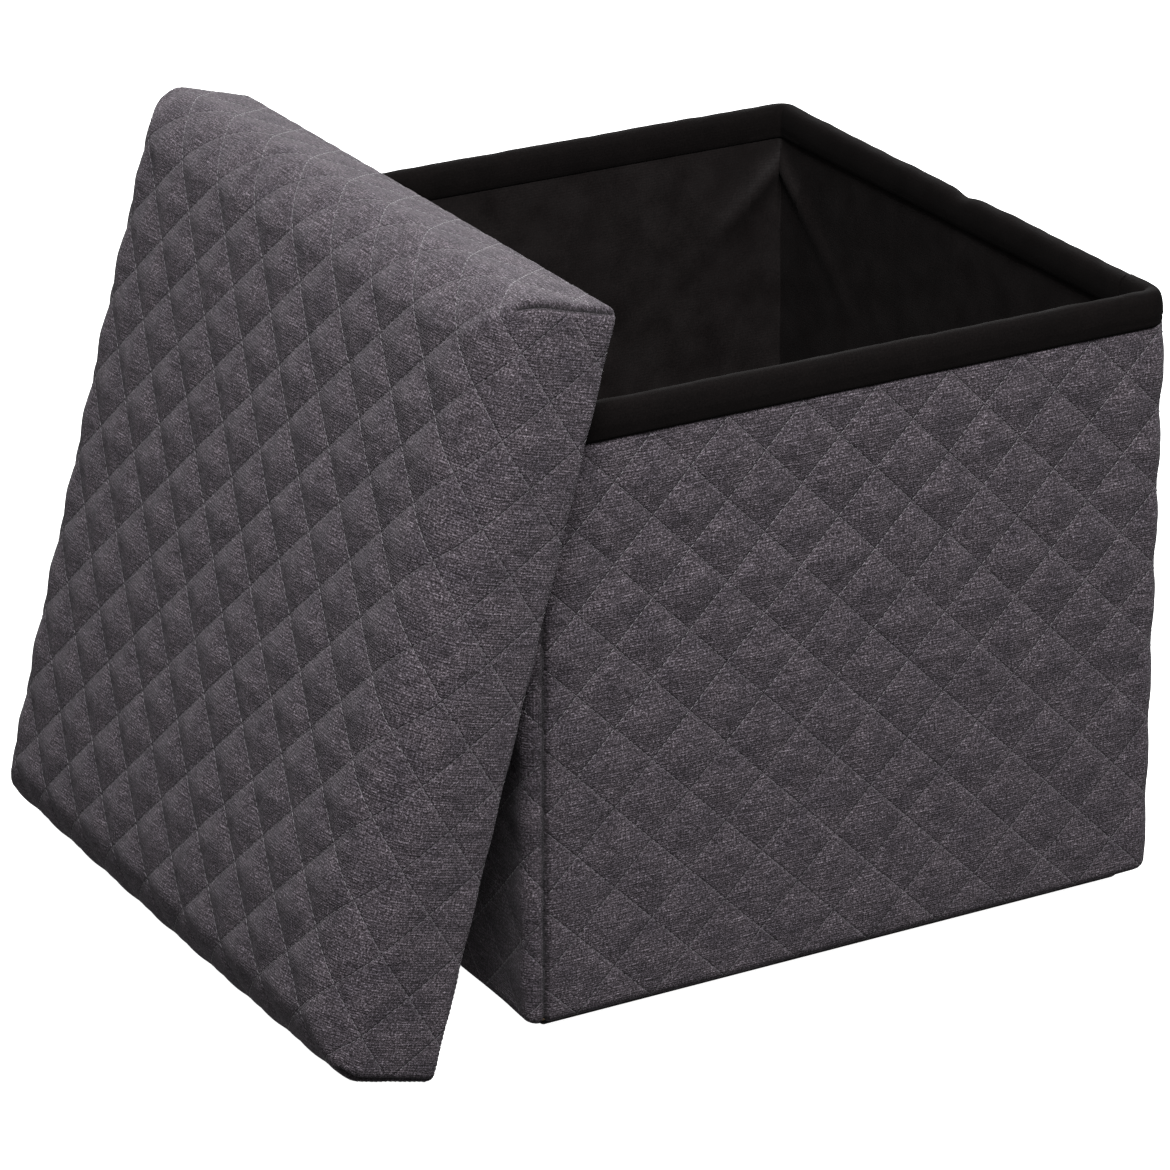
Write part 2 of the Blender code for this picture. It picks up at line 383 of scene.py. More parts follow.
def makeLinen():
    material, tree, shader = newMaterial("charcoalLinen")
    flat = placeNode(tree, "cloth")
    warp = placeNode(tree, "cloth", (1.0, 0.22, 1.0))
    weft = placeNode(tree, "cloth", (0.12, 1.0, 1.0))

    def times(first, second):
        return mathNode(tree, "MULTIPLY", first, second)

    # the yarns' mix: even grain, slubs up the cloth and across it, and long slubs
    speck = times(noiseNode(tree, flat, linen["yarn"], 2.0, 0.7), 0.56)
    for place, scale, detail, share in (
        (warp, linen["yarn"], 2.0, 0.16),
        (weft, linen["yarn"], 2.0, 0.20),
        (weft, linen["slub"], 3.0, 0.08),
    ):
        speck = mathNode(tree, "ADD", speck, times(noiseNode(tree, place, scale, detail, 0.6), share))
    yarn = rampNode(
        tree, speck,
        (
            (0.40, linen["dark"]), (0.46, linen["shadow"]), (0.51, linen["middle"]),
            (0.56, linen["light"]), (0.63, linen["bright"]),
        ),
    )
    clouds = noiseNode(tree, flat, linen["clouds"], 5.0, 0.62)
    cloudTint = rampNode(tree, clouds, ((0.32, (0.74, 0.73, 0.76)), (0.68, (1.26, 1.23, 1.22))))
    colour = multiplyColours(tree, yarn, cloudTint)
    # painted shade in the creases beside the stitch lines one way, and a painted highlight beside them
    # the other way, broken along their length
    split = addNode(tree, "ShaderNodeSeparateXYZ")
    tree.links.new(flat, split.inputs["Vector"])
    across = mathNode(tree, "DIVIDE", split.outputs["X"], quilt["across"])
    up = mathNode(tree, "DIVIDE", split.outputs["Y"], quilt["up"])
    waver = mathNode(tree, "SUBTRACT", noiseNode(tree, flat, 130.0, 2.0), 0.5)
    creaseUp = creaseNode(tree, times(across, -1.0), up, waver)
    creaseDown = creaseNode(tree, across, up, waver)
    broken = rampNode(tree, noiseNode(tree, flat, 230.0, 3.0), ((0.40, grey(0.15)), (0.60, grey(1.0))))
    colour = shadeBy(tree, colour, times(creaseUp, broken), linen["creaseShade"])
    # the painted highlight's mask, narrower than the crease
    creaseHighlightMask = times(times(creaseDown, creaseDown), broken)
    colour = shadeBy(tree, colour, creaseHighlightMask, linen["creasePaintedHighlight"])
    # painted shade along the seams, where their grooves fall in shadow; the "seam" attribute carries
    # its mask
    seam = addNode(tree, "ShaderNodeAttribute", attribute_type="GEOMETRY", attribute_name="seam")
    colour = shadeBy(tree, colour, seam.outputs["Fac"], linen["seamShade"])
    tree.links.new(colour, shader.inputs["Base Color"])
    setSockets(shader, {
        "Roughness": 0.92, "Specular IOR Level": 0.18, "Sheen Weight": 0.10,
        "Sheen Roughness": 0.5, "Sheen Tint": (0.80, 0.76, 0.82, 1.0),
    })
    warps = waveNode(tree, flat, linen["yarn"] / 4, "X", 2.5)
    wefts = waveNode(tree, flat, linen["yarn"] / 4, "Y", 2.5)
    height = mathNode(tree, "ADD", times(warps, wefts), times(speck, 3.0))
    normal = bumpNode(tree, height, 0.7, 0.0003)
    sunk = times(mathNode(tree, "MAXIMUM", creaseUp, creaseDown), -1.0)
    normal = bumpNode(tree, sunk, 0.9, linen["creaseDeep"], normal)
    tree.links.new(normal, shader.inputs["Normal"])
    return material


def makeNonwoven(name, base, lift, roughness, shine):
    material, tree, shader = newMaterial(name)
    place = placeNode(tree)
    fibres = noiseNode(tree, place, 1400.0, 4.0, 0.65)
    clouds = noiseNode(tree, place, 60.0)
    dots = cellNode(tree, place, 750.0, feature="F1")
    setSockets(dots, {"Randomness": 0.25})
    colour = rampNode(tree, fibres, ((0.3, base), (0.75, lift)))
    shade = rampNode(tree, clouds, ((0.3, grey(0.8)), (0.7, grey(1.15))))
    tree.links.new(multiplyColours(tree, colour, shade), shader.inputs["Base Color"])
    rough = rampNode(tree, clouds, ((0.3, grey(roughness - 0.08)), (0.7, grey(roughness + 0.1))))
    tree.links.new(rough, shader.inputs["Roughness"])
    setSockets(shader, {"Specular IOR Level": shine, "Sheen Weight": 0.01, "Sheen Roughness": 0.4})
    normal = bumpNode(tree, dots.outputs["Distance"], 0.35, 0.0002)
    normal = bumpNode(tree, fibres, 0.3, 0.0002, normal)
    tree.links.new(normal, shader.inputs["Normal"])
    return material


def makeFibreboard():
    material, tree, shader = newMaterial("fibreboard")
    place = placeNode(tree)
    fibres = noiseNode(tree, place, 420.0, 6.0, 0.7)
    patches = noiseNode(tree, place, 24.0)
    colour = rampNode(
        tree, fibres, ((0.3, (0.13, 0.085, 0.05)), (0.55, (0.27, 0.19, 0.12)), (0.8, (0.38, 0.29, 0.2)))
    )
    shade = rampNode(tree, patches, ((0.3, (0.85, 0.84, 0.82)), (0.7, (1.1, 1.08, 1.05))))
    tree.links.new(multiplyColours(tree, colour, shade), shader.inputs["Base Color"])
    setSockets(shader, {"Roughness": 0.82})
    tree.links.new(bumpNode(tree, fibres, 0.4, 0.0003), shader.inputs["Normal"])
    return material


def makeFoam():
    material, tree, shader = newMaterial("seatFoam")
    place = placeNode(tree)
    cells = cellNode(tree, place, 900.0, feature="DISTANCE_TO_EDGE")
    patches = noiseNode(tree, place, 40.0)
    colour = rampNode(tree, patches, ((0.3, (0.62, 0.55, 0.36)), (0.7, (0.78, 0.72, 0.52))))
    tree.links.new(colour, shader.inputs["Base Color"])
    setSockets(shader, {"Roughness": 0.95, "Subsurface Weight": 0.1, "Subsurface Scale": 0.004})
    tree.links.new(bumpNode(tree, cells.outputs["Distance"], 0.6, 0.0006), shader.inputs["Normal"])
    return material


def makeThread():
    material, tree, shader = newMaterial("stitchThread")
    twist = waveNode(tree, placeNode(tree), 2400.0, "DIAGONAL", 0.6)
    colour = rampNode(tree, twist, ((0.2, (0.045, 0.040, 0.046)), (0.8, (0.105, 0.096, 0.108))))
    tree.links.new(colour, shader.inputs["Base Color"])
    setSockets(shader, {"Roughness": 0.55, "Sheen Weight": 0.3})
    tree.links.new(bumpNode(tree, twist, 0.4, 0.0001), shader.inputs["Normal"])
    return material


linenMaterial = makeLinen()
liningMaterial = makeNonwoven(
    "blackNonwoven", (0.0034, 0.0027, 0.0027), (0.0098, 0.0078, 0.0077), roughness=0.54, shine=0.16
)
tapeMaterial = makeNonwoven(
    "blackTape", (0.0018, 0.0014, 0.0014), (0.0050, 0.0040, 0.0039), roughness=0.85, shine=0.04
)
boardMaterial = makeFibreboard()
foamMaterial = makeFoam()
threadMaterial = makeThread()
print("materials made")


# the quilted cloth, made flat and then puffed by a cloth simulation

def diamondSize(upright):
    # across the sheet and up it; a sheet that isn't upright has its cloth turned a quarter
    return (quilt["across"], quilt["up"]) if upright else (quilt["up"], quilt["across"])


def lineNumbers(x, y, upright=True):
    # which stitch lines of the two directions a place lies between; whole numbers are lines
    wide, high = diamondSize(upright)
    return x / wide + y / high, y / high - x / wide


def onStitchLine(x, y, upright):
    p, q = lineNumbers(x, y, upright)
    return min(abs(p - round(p)), abs(q - round(q))) * 0.025


def flatSheet(name, width, height, cell, crossing=None, upright=True):
    # a flat sheet from (0, 0) to (width, height); with a crossing its faces run with the stitches
    deselectAll()
    if crossing is None:
        bpy.ops.mesh.primitive_grid_add(
            x_subdivisions=max(2, round(width / cell)), y_subdivisions=max(2, round(height / cell)),
            size=1.0, location=(width / 2, height / 2, 0.0),
        )
        obj = bpy.context.object
        obj.scale = (width, height, 1.0)
        applyPlace(obj)
    else:
        wide, high = diamondSize(upright)
        reach = 0.0
        for x in (0.0, width):
            for y in (0.0, height):
                p, q = lineNumbers(x - crossing[0], y - crossing[1], upright)
                reach = max(reach, abs(p), abs(q))
        count = 2 * math.ceil(reach)
        bpy.ops.mesh.primitive_grid_add(
            x_subdivisions=count * quilt["cells"], y_subdivisions=count * quilt["cells"],
            size=count / math.sqrt(2), rotation=(0.0, 0.0, math.pi / 4),
        )
        obj = bpy.context.object
        applyPlace(obj)
        obj.scale = (wide, high, 1.0)
        obj.location = (crossing[0], crossing[1], 0.0)
        applyPlace(obj)
        for axis, value, side in ((0, 0.0, -1), (0, width, 1), (1, 0.0, -1), (1, height, 1)):
            cutAt(obj, axis, value, side)
        mergeClose(obj, 0.0007)
        snapRim(obj, ((0, 0.0), (0, width), (1, 0.0), (1, height)))
    obj.name = name
    obj.data.name = name
    return obj


def snapRim(obj, lines):
    # vertices of the rim that the merge pulled off a straight edge go back onto it
    cloth = bmesh.new()
    cloth.from_mesh(obj.data)
    for vertex in cloth.verts:
        if vertex.is_boundary:
            for axis, value in lines:
                if abs(vertex.co[axis] - value) < quilt["rimCatch"]:
                    vertex.co[axis] = value
    cloth.to_mesh(obj.data)
    cloth.free()
    mergeClose(obj, 0.0002)


def writeUv(obj, crossing=(0.0, 0.0), upright=True):
    # the cloth map: metres along the flat cloth, from a crossing of the stitch lines
    mesh = obj.data
    while mesh.uv_layers:
        mesh.uv_layers.remove(mesh.uv_layers[0])
    layer = mesh.uv_layers.new(name="cloth")
    for loop in mesh.loops:
        spot = mesh.vertices[loop.vertex_index].co
        across = spot.x - crossing[0]
        up = spot.y - crossing[1]
        layer.data[loop.index].uv = (across, up) if upright else (-up, across)


def pinQuilt(obj, crossing, edgeOf, upright):
    pinned = []
    for vertex in obj.data.vertices:
        x, y, z = vertex.co
        offLine = onStitchLine(x - crossing[0], y - crossing[1], upright)
        if offLine < quilt["onLine"] or edgeOf(x, y) < quilt["onLine"]:
            pinned.append(vertex.index)
    group = obj.vertex_groups.new(name="stitched")
    group.add(pinned, 1.0, "REPLACE")


def fillingHeight(x, y, edge, upright, seed):
    # the wadding's own pillow between the stitch lines; fuller in its upper half
    p, q = lineNumbers(x, y, upright)
    inP = p - math.floor(p)
    inQ = q - math.floor(q)
    amount = 0.82 + 0.26 * wobble(math.floor(p) * 0.31, math.floor(q) * 0.37, 0.0, 0.3, seed)
    pillow = (16 * inP * (1 - inP) * inQ * (1 - inQ)) ** 0.55
    raised = 1 + 0.35 * (inP + inQ - 1)
    return quilt["filling"] * amount * pillow * raised * smoothStep(edge, 0.0, 0.014)


def simulatePuff(obj, seed):
    loose = obj.vertex_groups.new(name="looseness")
    for vertex in obj.data.vertices:
        amount = 0.5 + 0.5 * wobble(vertex.co.x, vertex.co.y, 0.0, 0.03, seed)
        loose.add([vertex.index], min(max(amount, 0.0), 1.0), "REPLACE")
    modifier = obj.modifiers.new("cloth", "CLOTH")
    cloth = modifier.settings
    cloth.quality = 5
    cloth.mass = 0.3
    cloth.tension_stiffness = 15.0
    cloth.compression_stiffness = 15.0
    cloth.shear_stiffness = 5.0
    cloth.bending_stiffness = quilt["bending"]
    cloth.vertex_group_mass = "stitched"
    cloth.vertex_group_shrink = "looseness"
    cloth.shrink_min = -quilt["slack"] * 0.6
    cloth.shrink_max = -quilt["slack"] * 1.5
    cloth.use_pressure = True
    cloth.uniform_pressure_force = quilt["pressure"]
    cloth.effector_weights.gravity = 0.0
    modifier.point_cache.frame_start = 1
    modifier.point_cache.frame_end = quilt["frames"]
    for step in range(1, quilt["frames"] + 1):
        bpy.context.scene.frame_set(step)
    applyTop(obj, modifier)
    bpy.context.scene.frame_set(1)
    if max(vertex.co.z for vertex in obj.data.vertices) < quilt["leastPuff"]:
        raise RuntimeError("the cloth stayed flat")


def puffQuilt(obj, crossing, edgeOf, seed, upright=True):
    pinQuilt(obj, crossing, edgeOf, upright)
    simulatePuff(obj, seed)
    heights = []
    for vertex in obj.data.vertices:
        x, y, z = vertex.co
        heights.append(z)
        z += fillingHeight(x - crossing[0], y - crossing[1], edgeOf(x, y), upright, seed)
        vertex.co.z = min(max(z, -quilt["dip"]), quilt["puff"])
    heights.sort()
    print("cloth heights", [round(heights[int(len(heights) * f)] * 1000, 2) for f in (0.05, 0.5, 0.95)])
    obj.vertex_groups.clear()
    subdivideOnce(obj, "CATMULL_CLARK")


# stitches: one short length of thread for each, lying in the lines of the quilting

stitch = {
    "perSide": 8,  # stitches along each side of a diamond
    "long": 0.0023,
    "wide": 0.00042,
    "high": 0.00026,
    "lift": 0.00010,
    "lines": 26,  # lines of stitches looked through on each side of a crossing
}


def stitchSpots(obj, crossing, inside, upright=True):
    # (x, y, height, direction) of every stitch on the flat cloth
    tree = kdtree.KDTree(len(obj.data.vertices))
    for vertex in obj.data.vertices:
        tree.insert(Vector((vertex.co.x, vertex.co.y, 0.0)), vertex.index)
    tree.balance()
    wide, high = diamondSize(upright)
    lines = stitch["lines"]
    count = lines * stitch["perSide"]
    spots = []
    for way in (0, 1):
        for line in range(-lines, lines + 1):
            for number in range(-count, count + 1):
                p = line
                q = (number + 0.5) / stitch["perSide"]
                if way:
                    p, q = q, p
                x = crossing[0] + (p - q) / 2 * wide
                y = crossing[1] + (p + q) / 2 * high
                if not inside(x, y):
                    continue
                index = tree.find(Vector((x, y, 0.0)))[1]  # the nearest vertex
                direction = (wide, high) if way else (-wide, high)
                spots.append((x, y, obj.data.vertices[index].co.z, direction))
    return spots


def sewOn(obj, spots, mapper):
    # the stitches join the cover's own mesh, so they bend with it
    points = []
    faces = []
    half = stitch["long"] / 2
    for x, y, z, direction in spots:
        d = Vector((direction[0], direction[1], 0.0)).normalized()
        s = Vector((-d.y, d.x, 0.0))
        base = Vector((x, y, z + stitch["lift"]))
        first = len(points)
        points.append(base - d * half - Vector((0, 0, stitch["high"])))
        for along in (-0.55, 0.55):
            for wide, high in ((-0.5, 0.0), (0.0, 1.0), (0.5, 0.0), (0.0, -1.0)):
                points.append(
                    base + d * half * along + s * wide * stitch["wide"]
                    + Vector((0, 0, high * stitch["high"]))
                )
        points.append(base + d * half - Vector((0, 0, stitch["high"])))
        for n in range(4):
            m = (n + 1) % 4
            faces.append((first, first + 1 + m, first + 1 + n))
            faces.append((first + 1 + n, first + 1 + m, first + 5 + m, first + 5 + n))
            faces.append((first + 9, first + 5 + n, first + 5 + m))
    mesh = bpy.data.meshes.new(obj.name + "_stitches")
    mesh.from_pydata([mapper(point) for point in points], [], faces)
    threads = bpy.data.objects.new(obj.name + "_stitches", mesh)
    bpy.context.scene.collection.objects.link(threads)
    outward(threads)
    dressPiece(threads, threadMaterial, 60)
    pickOnly(obj)
    threads.select_set(True)
    bpy.ops.object.join()


# the box: its outline in plan, with round corners

box = {
    "cornerRound": 0.0070,
    "seamIn": 0.0075,  # how far round a corner each cover's seam is
    "inset": 0.0010,  # from the cover's outer face in to the stitch lines
    "footRound": 0.0045,
    "footUnder": 0.0030,
    "footLift": 0.0012,
    "underTape": 0.0012,  # how far the covers run up under the tape
    "cornerZone": 0.026,  # a corner piece ends this far from its corner
    "ridge": 0.0010,  # at the sides' creases
    "ridgeWidth": 0.010,
    "sideIn": 0.0010,  # the folding sides lie a little further in, clear of each other when folded
    "sideFirm": 0.42,  # how much of a pillow's height is left on them
    "sideEase": (0.004, 0.030),  # where that begins and is complete, from a corner
    "coverShell": 0.0009,
    "allowance": 0.0022,  # the end of each panel turned in behind the next one's seam
    "behind": 0.0012,  # how far behind
    "seamDip": 0.0018,
    "seamWidth": 0.0014,
    # width of the painted shadow along a seam
    "seamShadow": 0.0016,
    "sag": 0.0005,  # slack waves of the whole cover
    "firmLow": 0.36,  # how much of a pillow's height is left on a wall, at its foot
    "firmHigh": 0.72,  # and under the tape
    "flare": 0.004,  # how much wider the covers are at the foot than under the tape
}

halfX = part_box("front_wall_cover")[1].x
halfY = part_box("back_wall_cover")[1].y
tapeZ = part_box("front_wall_binding")[0].z
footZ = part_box("left_front_cover")[0].z
creaseY = (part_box("left_front_cover")[1].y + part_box("left_rear_cover")[0].y) / 2


def halfAlong(side):
    # side 0 is the front, 1 the right, 2 the back, 3 the left
    return halfX if side % 2 == 0 else halfY


def outlinePoint(side, run, out, cornerRound, inset=0.0):
    # a place on the outline and the way it faces; run starts at the side's seam
    a = halfAlong(side) - inset
    b = halfAlong(side + 1) - inset
    x = -a + box["seamIn"] + run
    turnAt = a - cornerRound
    beyond = abs(x) - turnAt
    if beyond <= 0:
        spot = Vector((x, -b, 0.0))
        facing = Vector((0.0, -1.0, 0.0))
    else:
        # round the corner, then straight on along the next side
        flip = math.copysign(1.0, x)
        angle = min(beyond / cornerRound, math.pi / 2)
        rest = max(beyond - cornerRound * math.pi / 2, 0.0)
        spot = Vector((
            flip * (turnAt + cornerRound * math.sin(angle)),
            -b + cornerRound - cornerRound * math.cos(angle) + rest, 0.0
        ))
        facing = Vector((flip * math.sin(angle), -math.cos(angle), 0.0))
    turn = Matrix.Rotation(side * math.pi / 2, 3, "Z")
    return turn @ (spot + facing * out), turn @ facing


def runAt(side, place, inset=0.0):
    # the run at a place measured along the side's own face
    return place + (halfAlong(side) - inset) - box["seamIn"]


def coverCut(side, place):
    # the same on the flat cloth of the covers
    return runAt(side, place, box["inset"])


def coverRun(side):
    # from one seam to the next
    r = box["cornerRound"]
    return 2 * (halfAlong(side) - box["inset"]) - 2 * r + math.pi / 2 * r


coverRuns = [coverRun(side) for side in range(4)]
coverTop = tapeZ + box["underTape"]
footArc = math.pi / 2 * box["footRound"]
coverHeight = box["footUnder"] + footArc + coverTop - footZ - box["footRound"]


def coverSection(v):
    # (out, z, the way out as (out, z)) at the height v of the flat cloth
    r = box["footRound"]
    low = footZ + box["footLift"]
    if v < box["footUnder"]:
        return -r - (box["footUnder"] - v), low, (0.0, -1.0)
    if v < box["footUnder"] + footArc:
        angle = (v - box["footUnder"]) / r
        way = (math.sin(angle), -math.cos(angle))
        return -r + r * math.sin(angle), low + r - r * math.cos(angle), way
    up = (v - box["footUnder"] - footArc) / (coverHeight - box["footUnder"] - footArc)
    return 0.0, low + r + up * (coverTop - low - r), (1.0, 0.0)


def coverPlace(side, point):
    x, y, h = point
    out, z, way = coverSection(y)
    lift = h
    if way[0] > 0.9:
        lift *= 1.0 - 0.75 * smoothStep(y, coverHeight - 0.006, coverHeight)
    else:
        lift *= 0.6
    lift *= box["firmLow"] + (box["firmHigh"] - box["firmLow"]) * smoothStep(z, 0.03, 0.21)
    lift *= 0.25 + 0.75 * smoothStep(z, 0.002, 0.024)
    flatSpot, facing = outlinePoint(side, x, 0.0, box["cornerRound"], box["inset"])
    seam = coverRuns[side]
    nearSeam = min(abs(x), abs(x - seam))
    lift -= box["seamDip"] * math.exp(-((nearSeam / box["seamWidth"]) ** 2))
    lift -= box["behind"] * smoothStep(x, seam - 0.0002, seam + box["allowance"])
    sag = box["sag"] * wobble(flatSpot.x, flatSpot.y, z * 2, 0.05, 3.1)
    ridge = 0.0
    if side % 2 == 1:
        farIn = smoothStep(halfY - abs(flatSpot.y), *box["sideEase"])
        sag = 0.3 * sag - box["sideIn"] * farIn
        lift *= 1 - (1 - box["sideFirm"]) * farIn
        near = abs(flatSpot.y - creaseY)
        ridge = box["ridge"] * (1 - smoothStep(near, 0.0, box["ridgeWidth"]))
        lift *= smoothStep(near, 0.0, box["ridgeWidth"])
    out += way[0] * lift + sag + ridge
    spot, facing = outlinePoint(side, x, out, box["cornerRound"], box["inset"])
    wider = 1 + box["flare"] * (1 - smoothStep(z, 0.0, tapeZ - 0.01))
    return Vector((spot.x * wider, spot.y, z + way[1] * lift))


def coverSeamShade(side, point):
    # painted shade in the seams' grooves: 1 in the seams, falling to 0 beside them
    near = min(abs(point.x), abs(point.x - coverRuns[side]))
    return math.exp(-((near / box["seamShadow"]) ** 2))


def wrapPiece(obj, mapper, seamShadeMask=None):
    # the painted seam shade's mask goes into the "seam" attribute
    if seamShadeMask is not None:
        seamShadeMarks = obj.data.attributes.new("seam", "FLOAT", "POINT")
        for vertex in obj.data.vertices:
            seamShadeMarks.data[vertex.index].value = seamShadeMask(vertex.co)
    for vertex in obj.data.vertices:
        vertex.co = mapper(vertex.co.copy())
    obj.data.update()


# each row: name, side, from and to along the side's own face (None is the seam), body or blend
corner = box["cornerZone"]
farX = halfX - corner
farY = halfY - corner
coverPieces = (
    ("front_cover", 0, None, farX, "front_wall"),
    ("front_right_corner_cover", 0, farX, None, "front_right"),
    ("right_front_cover", 1, None, creaseY, "right_front"),
    ("right_rear_cover", 1, creaseY, farY, "right_rear"),
    ("back_right_corner_cover", 1, farY, None, "back_right"),
    ("back_cover", 2, None, None, "back_wall"),
    ("back_left_corner_cover", 3, None, -farY, "back_left"),
    ("left_cover", 3, -farY, farY, "left_crease"),
    ("front_left_corner_cover", 3, farY, None, "front_left"),
)
blends = {
    "front_right": ("front_wall", "right_front", (0.1400, -0.1530, 0.1), (0.1530, -0.1440, 0.1)),
    "back_right": ("back_wall", "right_rear", (0.1530, 0.1450, 0.1), (0.1530, 0.1310, 0.1)),
    "back_left": ("back_wall", "left_rear", (-0.1530, 0.1450, 0.1), (-0.1530, 0.1310, 0.1)),
    "left_crease": (
        "left_rear", "left_front", (-0.1530, creaseY + 0.007, 0.1), (-0.1530, creaseY - 0.007, 0.1)
    ),
    "front_left": ("left_front", "front_wall", (-0.1530, -0.1400, 0.1), (-0.1440, -0.1530, 0.1)),
}
wallBodies = {
    "front": ["front_wall"],
    "right_front": ["right_front"],
    "right_rear": ["right_rear"],
    "back": ["back_wall"],
    "left": ["left_rear", "left_front"],
}


def wallNodes(place, kind):
    # the nodes that a piece stands for; the pieces round the corners stand for none
    return [body + kind for body in wallBodies.get(place, [])]


# where stitch lines cross on each side: along its face, and the height
crossings = ((0.0094, 0.186), (0.0031, 0.190), (-0.0120, 0.182), (0.0060, 0.186))
sheets = {}
spotsOf = {}
for side in range(4):
    width = coverRuns[side] + box["allowance"]
    along, height = crossings[side]
    crossing = (coverCut(side, along), coverHeight - (coverTop - height))

    def edgeOf(x, y, width=width):
        return min(x, width - x, coverHeight - y)

    sheet = flatSheet(f"quilt_{side}", width, coverHeight, 0.0, crossing)
    writeUv(sheet, crossing)
    puffQuilt(sheet, crossing, edgeOf, 1.7 * side + 0.4)
    sheets[side] = sheet
    seam = coverRuns[side]
    spotsOf[side] = stitchSpots(
        sheet, crossing, lambda x, y: 0.0015 < x < seam - 0.0015 and 0.006 < y < coverHeight - 0.001
    )
    print("quilted cloth", side, len(sheet.data.vertices))

for name, side, start, end, body in coverPieces:
    piece = copyPiece(sheets[side], name)
    low = 0.0
    high = coverRuns[side] + box["allowance"]
    if start is not None:
        low = coverCut(side, start)
        cutAt(piece, 0, low, -1)
    if end is not None:
        high = coverCut(side, end)
        cutAt(piece, 0, high, 1)
    wrapPiece(piece, lambda point: coverPlace(side, point), lambda point: coverSeamShade(side, point))
    thicken(piece, box["coverShell"])
    dressPiece(piece, linenMaterial)
    kept = [spot for spot in spotsOf[side] if low <= spot[0] < high]
    sewOn(piece, kept, lambda point: coverPlace(side, point))
    setPiece(piece, body, wallNodes(name.removesuffix("_cover"), "_cover"))
for sheet in sheets.values():
    dropPiece(sheet)
print("covers on the box")


# the tape over the rim

tape = {
    "profile": (
        (-0.0030, -0.0004), (-0.0012, -0.0006), (-0.0001, 0.0006), (0.0004, 0.0034),
        (0.0003, 0.0066), (-0.0001, 0.0100), (-0.0009, 0.0128), (-0.0024, 0.0146),
        (-0.0046, 0.0151), (-0.0068, 0.0146), (-0.0084, 0.0130), (-0.0092, 0.0104),
        (-0.0095, 0.0066), (-0.0094, 0.0030), (-0.0088, 0.0002), (-0.0076, -0.0008),
    ),  # (out from the outer face, up from the tape's lower edge)
    "middle": -0.0046,  # out, of the section's middle
    "step": 0.0030,
    "cornerStep": 0.0022,
    "cornerRound": 0.0105,
    "shell": 0.0007,
    "groove": 0.00045,  # of the stitching near its lower edges
    "grooveUp": 0.0028,
    "creaseDip": 0.0016,
    "sideIn": 0.0007,  # room between the folding sides when the box is folded flat
}


def splinePoint(points, t):
    # a smooth curve through the points, t from 0 to 1
    last = len(points) - 1
    place = min(max(t, 0.0), 1.0) * last
    index = min(int(place), last - 1)
    f = place - index
    p1 = Vector(points[index])
    p2 = Vector(points[index + 1])
    p0 = Vector(points[index - 1]) if index > 0 else p1 * 2 - p2
    p3 = Vector(points[index + 2]) if index + 2 <= last else p2 * 2 - p1
    return 0.5 * (
        2 * p1 + (p2 - p0) * f + (2 * p0 - 5 * p1 + 4 * p2 - p3) * f * f
        + (3 * p1 - p0 - 3 * p2 + p3) * f * f * f
    )


def profileLength(points):
    spots = [splinePoint(points, n / 200) for n in range(201)]
    return sum((b - a).length for a, b in zip(spots, spots[1:]))


tapeWidth = profileLength(tape["profile"])


def tapePlace(side, point):
    x, y, h = point
    t = y / tapeWidth
    out, up = splinePoint(tape["profile"], t)
    spot, facing = outlinePoint(side, x, 0.0, tape["cornerRound"])
    body = math.sin(math.pi * min(max(t, 0.0), 1.0))
    z = tapeZ + up
    lumps = 0.00035 * wobble(spot.x, spot.y, z * 0.4, 0.011, 5.0) * body
    lumps += 0.0003 * wobble(spot.x, spot.y, z, 0.04, 2.0) * body
    groove = math.exp(-((up - tape["grooveUp"]) / 0.0007) ** 2)
    sink = tape["groove"] * groove * (1.0 if out > -0.003 or out < -0.0088 else 0.0)
    dip = 0.0
    bend = 0.0
    if side % 2 == 1:
        near = abs(spot.y - creaseY)
        dip = tape["creaseDip"] * math.exp(-(near / 0.007) ** 2)
        bend = -tape["sideIn"] * smoothStep(halfY - abs(spot.y), *box["sideEase"])
    # swell away from the middle of the section
    middle = tape["middle"]
    swell = 1.0 + (lumps - sink) / -middle
    newOut = middle + (out - middle) * swell
    newUp = up + lumps * smoothStep(up, 0.009, 0.015) - dip * smoothStep(up, 0.004, 0.015)
    place, facing = outlinePoint(side, x, newOut + bend, tape["cornerRound"])
    return Vector((place.x, place.y, tapeZ + newUp))


# each row: place, side, from and to along the side's own face, body or blend; "next" goes round
# the corner to the same distance on the next side
loopRows = (
    ("front", 0, -farX, farX, "front_wall"),
    ("front_right", 0, farX, "next", "front_right"),
    ("right_front", 1, -farY, creaseY, "right_front"),
    ("right_rear", 1, creaseY, farY, "right_rear"),
    ("back_right", 1, farY, "next", "back_right"),
    ("back", 2, -farX, farX, "back_wall"),
    ("back_left", 2, farX, "next", "back_left"),
    ("left", 3, -farY, farY, "left_crease"),
    ("front_left", 3, farY, "next", "front_left"),
)


def loopRange(side, start, end, cornerRound):
    low = runAt(side, start)
    if end != "next":
        return low, runAt(side, end)
    high = runAt(side, halfAlong(side) - cornerRound)
    high += math.pi / 2 * cornerRound + (corner - cornerRound)
    return low, high


def layLoop(obj, low, mapper):
    # moves a flat sheet along to its run, maps it, and wraps it
    for vertex in obj.data.vertices:
        vertex.co.x += low
    writeUv(obj)
    wrapPiece(obj, mapper)


for place, side, start, end, body in loopRows:
    low, high = loopRange(side, start, end, tape["cornerRound"])
    step = tape["cornerStep"] if end == "next" else tape["step"]
    piece = flatSheet(place + "_tape", high - low, tapeWidth, step)
    subdivideOnce(piece, "SIMPLE")
    layLoop(piece, low, lambda point: tapePlace(side, point))
    thicken(piece, tape["shell"])
    dressPiece(piece, tapeMaterial)
    setPiece(piece, body, wallNodes(place, "_binding"))
print("tape on the rim")


# the lining inside

